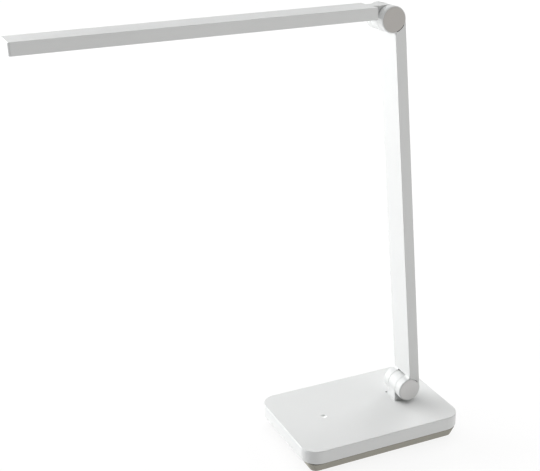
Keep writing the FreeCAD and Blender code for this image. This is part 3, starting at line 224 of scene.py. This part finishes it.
    def painted_crevice_shade(self, reach, samples=6):
        """Painted shade mask: 1 deep in corners and gaps, 0 in the open."""
        ao = self.node("ShaderNodeAmbientOcclusion", samples=samples)
        ao.inputs["Distance"].default_value = reach
        return self.span(ao.outputs["AO"], 0.25, 0.85, 1.0, 0.0)

    def bump(self, height, distance, strength=1.0):
        n = self.node("ShaderNodeBump")
        n.inputs["Strength"].default_value = strength
        n.inputs["Distance"].default_value = distance
        self.link(height, n.inputs["Height"])
        if self.normal is not None:
            self.link(self.normal, n.inputs["Normal"])
        self.normal = n.outputs["Normal"]
        self.link(self.normal, self.p.inputs["Normal"])

    def colour(self, source):
        self.link(source, self.p.inputs["Base Color"])

    def rough(self, source):
        self.link(source, self.p.inputs["Roughness"])


def shade(colour, k):
    return tuple(max(0.0, min(1.0, c * k)) for c in colour)


def moulded(name, colour, rough, grain=2600.0, grain_depth=0.00003, ior=1.46, wear_and_sheen=0.5, crevice_shade=0.12, flow=None, painted_gap_shadows=(), dimple=None):
    """Moulded plastic: spark-eroded grain, slow waviness, faint tone and gloss changes, edges rubbed smoother and
    faintly lighter as a painted highlight, painted shade in corners and gaps, optional painted shadow arcs round the
    hinge caps.
    """
    m = Mat(name, colour, rough, IOR=ior)
    fine = m.noise(grain, 2.0, 0.6)
    speck = m.span(fine, 0.35, 0.65)
    tone = m.span(m.noise(9.0, 3.0), 0.3, 0.7)
    base = m.mix(tone, shade(colour, 0.985), shade(colour, 1.012))
    if flow:
        # Faint flow lines of the moulding, along the length of the piece.
        lines = m.span(m.noise(30.0, 3.0, 0.6, stretch=flow), 0.35, 0.65)
        base = m.mix(m.math("MULTIPLY", lines, 0.35), base, shade(colour, 0.985))
    base = m.mix(m.math("MULTIPLY", speck, 0.12), base, shade(colour, 0.93))
    edge = m.edge(0.0005)
    # Edges lighter in colour: partly rubbed wear, partly a painted highlight.
    base = m.mix(m.math("MULTIPLY", edge, 0.25 * wear_and_sheen), base, shade(colour, 1.05))
    # Painted shade: corners and gaps darkened in colour by an occlusion mask.
    if crevice_shade:
        base = m.mix(m.math("MULTIPLY", m.painted_crevice_shade(0.0012), crevice_shade), base, tuple(c * k for c, k in zip(colour, (0.42, 0.40, 0.36))))
    # Painted shadow: near-black arcs in the gap between each hinge cap and its ring, on both faces of the arm.
    for cx, cz in painted_gap_shadows:
        r = m.away(cx, 0.0, cz, flat=(1, 0, 1))
        shadow_arc = m.math("MULTIPLY", m.span(r, 0.01222, 0.01226), m.span(r, 0.01292, 0.01300, 1.0, 0.0))
        deep = m.span(m.math("ABSOLUTE", m.axis(1), 0.0), 0.0170, 0.0172, 1.0, 0.0)
        side = m.span(m.math("ABSOLUTE", m.axis(1), 0.0), 0.0143, 0.0145)
        base = m.mix(m.math("MULTIPLY", shadow_arc, m.math("MULTIPLY", deep, side)), base, (0.03, 0.03, 0.03))
    m.colour(base)
    smudge = m.span(m.noise(38.0, 4.0, 0.62), 0.35, 0.72, rough - 0.05, rough + 0.05)
    smudge = m.math("ADD", smudge, m.math("MULTIPLY", speck, 0.05))
    smudge = m.math("SUBTRACT", smudge, m.math("MULTIPLY", edge, 0.12 * wear_and_sheen))
    # A few hairline scuffs that only change the gloss.
    scuff = m.span(m.cells(75.0, "DISTANCE_TO_EDGE", stretch=(1.0, 0.35, 1.0)), 0.0, 0.012, 1.0, 0.0)
    scuff = m.math("MULTIPLY", scuff, m.span(m.noise(17.0, 1.0), 0.58, 0.66))
    smudge = m.math("SUBTRACT", smudge, m.math("MULTIPLY", scuff, 0.06))
    m.rough(smudge)
    m.bump(m.noise(55.0, 1.0), 0.00010, 0.35)
    m.bump(fine, grain_depth, 0.8)
    if dimple:
        # The touch dimple is steeper at its rim than the shallow ball cut alone.
        r = m.away(dimple[0], dimple[1], 0.0, flat=(1, 1, 0))
        m.bump(m.span(r, 0.0004, 0.0036, smooth=True), 0.0012, 1.0)
    return m.m


def steel(name, colour, rough, lines=None, tint=None, spots=0.0, metal=1.0):
    """Bare or plated steel: drawn or ground lines, cloudy gloss, a darker film in places, brighter rubbed edges."""
    m = Mat(name, colour, rough, Metallic=metal)
    cloud = m.span(m.noise(70.0, 4.0, 0.6), 0.3, 0.7)
    base = m.mix(cloud, shade(colour, 0.86), shade(colour, 1.06))
    if tint:
        base = m.mix(m.math("MULTIPLY", m.span(m.noise(160.0, 2.0), 0.42, 0.68), 0.55), base, tint)
    if spots:
        rust = m.math("MULTIPLY", m.span(m.noise(420.0, 5.0, 0.7), 0.60, 0.72), spots)
        base = m.mix(rust, base, (0.16, 0.075, 0.035))
    edge = m.edge(0.0002)
    base = m.mix(m.math("MULTIPLY", edge, 0.5), base, shade(colour, 1.25))
    m.colour(base)
    grain = m.noise(900.0, 3.0, 0.65, stretch=lines) if lines else m.noise(1400.0, 3.0, 0.6)
    r = m.span(grain, 0.3, 0.7, rough - 0.09, rough + 0.09)
    r = m.math("ADD", r, m.math("MULTIPLY", cloud, 0.08))
    m.rough(m.math("SUBTRACT", r, m.math("MULTIPLY", edge, 0.08)))
    m.bump(grain, 0.00002, 0.6)
    return m.m


def turned(name, colour, rough, centre, pitch=0.00022):
    """Turned steel: fine tool marks round the hinge axis on faces and shank."""
    m = Mat(name, colour, rough, Metallic=1.0)
    r = m.away(*centre, flat=(1, 0, 1))
    path = m.math("ADD", r, m.axis(1))
    marks = m.math("SINE", m.math("MULTIPLY", path, 2 * math.pi / pitch))
    wobble = m.noise(500.0, 3.0, 0.6)
    cloud = m.span(m.noise(120.0, 3.0), 0.3, 0.7)
    m.colour(m.mix(cloud, shade(colour, 0.88), shade(colour, 1.05)))
    height = m.math("ADD", m.math("MULTIPLY", marks, 0.5), wobble)
    m.rough(m.math("ADD", m.span(wobble, 0.3, 0.7, rough - 0.05, rough + 0.05), m.math("MULTIPLY", marks, 0.02)))
    m.bump(height, 0.000006, 0.7)
    return m.m


def rubber(name, colour, rough):
    """Foamed silicone: open-pored skin, dust caught in the pores."""
    m = Mat(name, colour, rough, IOR=1.42)
    pores = m.cells(1500.0)
    deep = m.span(pores, 0.10, 0.55)
    pebble = m.noise(900.0, 3.0, 0.6)
    dust = m.span(m.noise(24.0, 4.0, 0.6), 0.42, 0.72)
    # Painted shade: the pore hollows darker in colour.
    base = m.mix(deep, shade(colour, 0.55), shade(colour, 1.25))
    base = m.mix(m.math("MULTIPLY", dust, 0.28), base, (0.22, 0.21, 0.19))
    m.colour(base)
    m.rough(m.span(pebble, 0.3, 0.7, rough - 0.08, rough + 0.08))
    m.bump(pebble, 0.00008, 0.6)
    m.bump(deep, 0.00010, 0.5)
    return m.m


def opal_lens(name):
    """Opal acrylic with shallow ribs along its length and a finely frosted face."""
    colour = (0.80, 0.81, 0.80)
    m = Mat(name, colour, 0.32, IOR=1.49)
    m.p.inputs["Subsurface Weight"].default_value = 0.35
    m.p.inputs["Subsurface Radius"].default_value = (1.0, 0.95, 0.85)
    m.p.inputs["Subsurface Scale"].default_value = 0.002
    frost = m.noise(2400.0, 2.0, 0.6)
    cloud = m.span(m.noise(14.0, 3.0), 0.3, 0.7)
    ribs = m.math("SINE", m.math("MULTIPLY", m.axis(1), 2 * math.pi / 0.0008))
    base = m.mix(cloud, shade(colour, 0.985), shade(colour, 1.01))
    # Painted shade: corners and gaps darkened in colour by an occlusion mask.
    base = m.mix(m.math("MULTIPLY", m.painted_crevice_shade(0.0010), 0.25), base, (0.42, 0.41, 0.38))
    m.colour(base)
    m.rough(m.span(frost, 0.3, 0.7, 0.28, 0.38))
    m.bump(ribs, 0.00003, 0.5)
    m.bump(frost, 0.00001, 0.5)
    return m.m


def circuit(name, mask, tracks, rough, dense=420.0):
    """Printed board: solder mask over right-angled tracks, tinned pads, bare cut edges."""
    m = Mat(name, mask, rough, IOR=1.52)
    step = m.cell_tone(dense)
    bars_x = m.span(m.math("SINE", m.math("MULTIPLY", m.axis(0), 2 * math.pi / 0.0019)), 0.55, 0.75)
    bars_y = m.span(m.math("SINE", m.math("MULTIPLY", m.axis(1), 2 * math.pi / 0.0019)), 0.55, 0.75)
    region = m.span(m.noise(60.0, 0.0), 0.49, 0.51)
    lines = m.math("ADD", m.math("MULTIPLY", bars_x, region),
                   m.math("MULTIPLY", bars_y, m.math("SUBTRACT", 1.0, region)))
    lines = m.math("MULTIPLY", lines, m.span(m.noise(35.0, 1.0), 0.44, 0.46))
    pads = m.span(m.cells(240.0), 0.16, 0.18, 1.0, 0.0)
    pads = m.math("MULTIPLY", pads, m.span(m.noise(45.0, 1.0), 0.55, 0.57))
    base = m.mix(m.span(step, 0.0, 1.0, 0.0, 0.12), mask, shade(mask, 0.8))
    base = m.mix(lines, base, tracks)
    base = m.mix(pads, base, (0.62, 0.62, 0.60))
    side = m.span(m.math("ABSOLUTE", m.facing((0, 0, 1)), 0.0), 0.4, 0.6, 1.0, 0.0)
    base = m.mix(side, base, (0.36, 0.34, 0.20))
    m.colour(base)
    m.rough(m.span(m.noise(700.0, 3.0), 0.3, 0.7, rough - 0.07, rough + 0.10))
    m.bump(lines, 0.00004, 0.5)
    m.bump(pads, 0.00008, 0.5)
    return m.m


def electronics(name):
    """Black moulded bodies, two aluminium cans with sleeves, a ferrite coil, a white plug and a clear light."""
    black = (0.022, 0.022, 0.024)
    m = Mat(name, black, 0.5, IOR=1.5)
    grain = m.noise(2200.0, 2.0, 0.6)
    base = m.mix(m.span(grain, 0.3, 0.7), shade(black, 0.8), shade(black, 1.35))
    for x, y in ((0.016, 0.040), (-0.034, 0.042)):
        can = m.span(m.away(x, y, 0.0, flat=(1, 1, 0)), 0.0034, 0.0035, 1.0, 0.0)
        top = m.span(m.facing((0, 0, 1)), 0.4, 0.6)
        mark = m.span(m.math("SUBTRACT", m.axis(0), x), -0.0018, -0.0017, 1.0, 0.0)
        sleeve = m.mix(mark, (0.025, 0.035, 0.075), (0.46, 0.47, 0.48))
        base = m.mix(can, base, m.mix(top, sleeve, (0.60, 0.61, 0.62)))
    coil = m.math("MULTIPLY", m.within(0, -0.0185, -0.0075), m.within(1, 0.0195, 0.0305))
    wire = m.span(m.math("SINE", m.math("MULTIPLY", m.axis(2), 2 * math.pi / 0.0005)), -0.3, 0.5)
    base = m.mix(m.math("MULTIPLY", coil, wire), base, (0.30, 0.11, 0.045))
    plug = m.math("MULTIPLY", m.within(0, 0.0255, 0.0335), m.within(1, -0.0045, 0.0045))
    base = m.mix(plug, base, (0.66, 0.64, 0.58))
    light = m.span(m.away(0.0438, 0.0146, 0.0, flat=(1, 1, 0)), 0.0015, 0.0016, 1.0, 0.0)
    base = m.mix(light, base, (0.62, 0.60, 0.42))
    m.colour(base)
    m.rough(m.span(grain, 0.3, 0.7, 0.40, 0.60))
    m.bump(grain, 0.00003, 0.6)
    return m.m


def emitters(name):
    """White ceramic bodies with a round yellow window underneath."""
    m = Mat(name, (0.70, 0.70, 0.68), 0.35, IOR=1.5)
    # The windows repeat with the bodies, one every 9 mm.
    middle = 0.023860 - (0.022 + 0.3694) / 2.0
    run = m.math("ADD", m.axis(0), 10 * 0.009 - middle + 0.0045 - 0.0045)
    near = m.math("PINGPONG", m.math("ADD", run, 0.0045), 0.0045)
    r2 = m.math("ADD", m.math("POWER", near, 2.0), m.math("POWER", m.axis(1), 2.0))
    dome = m.span(r2, 1.35e-6, 1.6e-6, 1.0, 0.0)
    under = m.span(m.facing((0, 0, -1)), 0.4, 0.6)
    window = m.math("MULTIPLY", dome, under)
    grain = m.noise(3500.0, 2.0)
    base = m.mix(m.span(grain, 0.3, 0.7), (0.66, 0.66, 0.64), (0.74, 0.74, 0.72))
    base = m.mix(window, base, m.mix(m.span(grain, 0.3, 0.7), (0.72, 0.50, 0.08), (0.80, 0.60, 0.14)))
    m.colour(base)
    m.rough(m.span(grain, 0.3, 0.7, 0.28, 0.42))
    m.bump(grain, 0.00002, 0.5)
    return m.m


def jacket(name, colour):
    """Extruded lead jacket: soft gloss, faint draw lines and pressure marks."""
    m = Mat(name, colour, 0.42, IOR=1.5)
    fine = m.noise(1800.0, 2.0)
    slow = m.span(m.noise(60.0, 3.0), 0.3, 0.7)
    m.colour(m.mix(slow, shade(colour, 0.8), shade(colour, 1.3)))
    m.rough(m.math("ADD", m.span(fine, 0.3, 0.7, 0.36, 0.46), m.math("MULTIPLY", slow, 0.08)))
    m.bump(slow, 0.00008, 0.4)
    m.bump(fine, 0.00001, 0.6)
    return m.m


def inlet(name):
    """Nickel plated shell with a black tongue that carries gilt contacts."""
    m = Mat(name, (0.55, 0.55, 0.55), 0.28)
    z0 = 0.0202
    tongue = m.math("MULTIPLY", m.within(2, z0 - 0.00040, z0 + 0.00040, 0.00002), m.within(0, -0.0034, 0.0034))
    contact = m.span(m.math("SINE", m.math("MULTIPLY", m.axis(0), 2 * math.pi / 0.0005)), 0.1, 0.3)
    contact = m.math("MULTIPLY", contact, m.within(0, -0.0029, 0.0029))
    contact = m.math("MULTIPLY", contact, m.span(m.math("ABSOLUTE", m.facing((0, 0, 1)), 0.0), 0.4, 0.6))
    grain = m.noise(1600.0, 3.0, 0.6, stretch=(1, 6, 1))
    cloud = m.span(m.noise(300.0, 3.0), 0.3, 0.7)
    shell = m.mix(cloud, (0.46, 0.46, 0.45), (0.60, 0.60, 0.59))
    inner = m.mix(contact, (0.02, 0.02, 0.02), (0.70, 0.50, 0.18))
    m.colour(m.mix(tongue, shell, inner))
    metal = m.math("MAXIMUM", m.math("SUBTRACT", 1.0, tongue), m.math("MULTIPLY", contact, tongue))
    m.link(metal, m.p.inputs["Metallic"])
    m.rough(m.span(grain, 0.3, 0.7, 0.22, 0.36))
    m.bump(grain, 0.00001, 0.5)
    return m.m


def lens_clear(name):
    """Smoky light pipe with a polished end."""
    m = Mat(name, (0.10, 0.10, 0.105), 0.12, IOR=1.49)
    m.p.inputs["Coat Weight"].default_value = 0.4
    m.p.inputs["Coat Roughness"].default_value = 0.05
    swirl = m.noise(900.0, 2.0)
    m.colour(m.mix(m.span(swirl, 0.3, 0.7), (0.085, 0.088, 0.095), (0.12, 0.12, 0.125)))
    m.rough(m.span(swirl, 0.3, 0.7, 0.08, 0.18))
    m.bump(swirl, 0.00001, 0.4)
    return m.m


def nylon(name):
    """Natural nylon: slightly yellow, waxy, with swirl from the mould."""
    colour = (0.70, 0.68, 0.60)
    m = Mat(name, colour, 0.42, IOR=1.53)
    swirl = m.noise(260.0, 3.0, 0.6)
    fine = m.noise(2500.0, 2.0)
    m.colour(m.mix(m.span(swirl, 0.3, 0.7), shade(colour, 0.93), shade(colour, 1.04)))
    m.rough(m.span(fine, 0.3, 0.7, 0.36, 0.50))
    m.bump(fine, 0.00002, 0.6)
    return m.m


WHITE = (0.66, 0.669, 0.666)
white = moulded("white_shell", WHITE, 0.47, crevice_shade=0.10)
white_base = moulded("white_shell_base", WHITE, 0.47, crevice_shade=0.16, dimple=(-0.0454, -0.0022))
upper = (0.0551 - 0.4186 * math.sin(math.radians(4.28)), 0.0, 0.0445 + 0.4186 * math.cos(math.radians(4.28)))
white_long = moulded("white_shell_long", WHITE, 0.47, flow=(1.0, 1.0, 0.05), crevice_shade=0.10,
                     painted_gap_shadows=((0.0551, 0.0445), (upper[0], upper[2])))
white_bar = moulded("white_shell_bar", WHITE, 0.47, flow=(0.05, 1.0, 1.0), crevice_shade=0.10)
white_cover = moulded("white_cover", shade(WHITE, 0.995), 0.45, flow=(1.0, 1.0, 0.05), crevice_shade=0.10)
tray_mat = moulded("tray_grey", (0.28, 0.268, 0.228), 0.62, grain=1500.0, grain_depth=0.00006, crevice_shade=0.0)
# The hinge caps are one grey given two shades: the lower caps painted lighter and the upper caps darker, for how the
# light falls on each.
cap_grey_lit_copy = moulded("cap_grey_lower", (0.735, 0.733, 0.730), 0.40, grain=3200.0, grain_depth=0.00002, crevice_shade=0.15)
cap_grey_shaded_copy = moulded("cap_grey", (0.475, 0.458, 0.438), 0.40, grain=3200.0, grain_depth=0.00002, crevice_shade=0.15)
zinc = steel("plated_steel", (0.60, 0.60, 0.57), 0.34, tint=(0.52, 0.50, 0.36))
screw_zinc = steel("screw_steel", (0.50, 0.50, 0.50), 0.36, tint=(0.36, 0.38, 0.42))
spring = steel("spring_steel", (0.42, 0.41, 0.40), 0.32, tint=(0.22, 0.19, 0.26))
ballast = steel("ballast_steel", (0.30, 0.30, 0.31), 0.52, lines=(0.15, 4.0, 1.0), spots=0.55)
aluminium = steel("spreader_aluminium", (0.74, 0.745, 0.75), 0.34, lines=(0.02, 5.0, 5.0))

for node, mat in (
        ("base_shell", white_base), ("hinge_pedestal", white), ("arm_channel", white_long), ("head_housing", white_bar),
        ("arm_cover", white_cover), ("base_tray", tray_mat),
        ("antislip_pad", rubber("pad_rubber", (0.035, 0.035, 0.036), 0.82)),
        ("lower_cap_front", cap_grey_lit_copy), ("lower_cap_rear", cap_grey_lit_copy), ("upper_cap_front", cap_grey_shaded_copy),
        ("upper_cap_rear", cap_grey_shaded_copy), ("diffuser", opal_lens("diffuser_opal")),
        ("ballast_plate", ballast), ("ballast_screws", screw_zinc), ("tray_screws", screw_zinc),
        ("pedestal_screws", screw_zinc), ("board_screws", screw_zinc), ("head_screws", screw_zinc),
        ("hinge_backing_plate", steel("backing_plate_steel", (0.60, 0.60, 0.57), 0.34, lines=(0.2, 4.0, 1.0),
                                      tint=(0.52, 0.50, 0.36))),
        ("lower_hinge_nut", zinc), ("upper_hinge_nut", zinc),
        ("lower_spring_washers", spring), ("upper_spring_washers", spring), ("touch_spring", spring),
        ("lower_hinge_pin", turned("pin_steel_lower", (0.62, 0.62, 0.62), 0.22, (0.0551, 0.0, 0.0445))),
        ("upper_hinge_pin", turned("pin_steel_upper", (0.62, 0.62, 0.62), 0.22, upper)),
        ("lower_friction_washers", nylon("washer_nylon")), ("upper_friction_washers", nylon("washer_nylon_upper")),
        ("control_board", circuit("board_green", (0.012, 0.085, 0.035), (0.03, 0.17, 0.06), 0.32)),
        ("led_board", circuit("board_white", (0.74, 0.74, 0.72), (0.68, 0.69, 0.67), 0.34)),
        ("board_components", electronics("component_black")), ("leds", emitters("emitter_yellow")),
        ("power_socket", inlet("socket_shell")), ("indicator_lens", lens_clear("indicator_clear")),
        ("heat_spreader", aluminium),
        ("base_lead", jacket("lead_black", (0.018, 0.018, 0.019))),
        ("arm_lead", jacket("lead_black_arm", (0.018, 0.018, 0.019))),
        ("head_lead", jacket("lead_black_head", (0.018, 0.018, 0.019)))):
    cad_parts[node].material_slots[0].material = mat

# --------------------------------------------------------------------------
# Floor
# --------------------------------------------------------------------------
me = bpy.data.meshes.new("floor")
me.from_pydata([(-14, -14, 0), (14, -14, 0), (14, 14, 0), (-14, 14, 0)], [], [(0, 1, 2, 3)])
floor = bpy.data.objects.new("floor", me)
scene.collection.objects.link(floor)
fm = Mat("floor_paper", (0.12, 0.12, 0.12), 0.9)
fm.p.inputs["Specular IOR Level"].default_value = 0.0
fm.colour(fm.mix(fm.span(fm.noise(3.0, 2.0), 0.3, 0.7), (0.1176,) * 3, (0.1224,) * 3))
fm.p.inputs["Emission Color"].default_value = (1.0, 1.0, 1.0, 1.0)
fm.p.inputs["Emission Strength"].default_value = 0.87
floor.data.materials.append(fm.m)
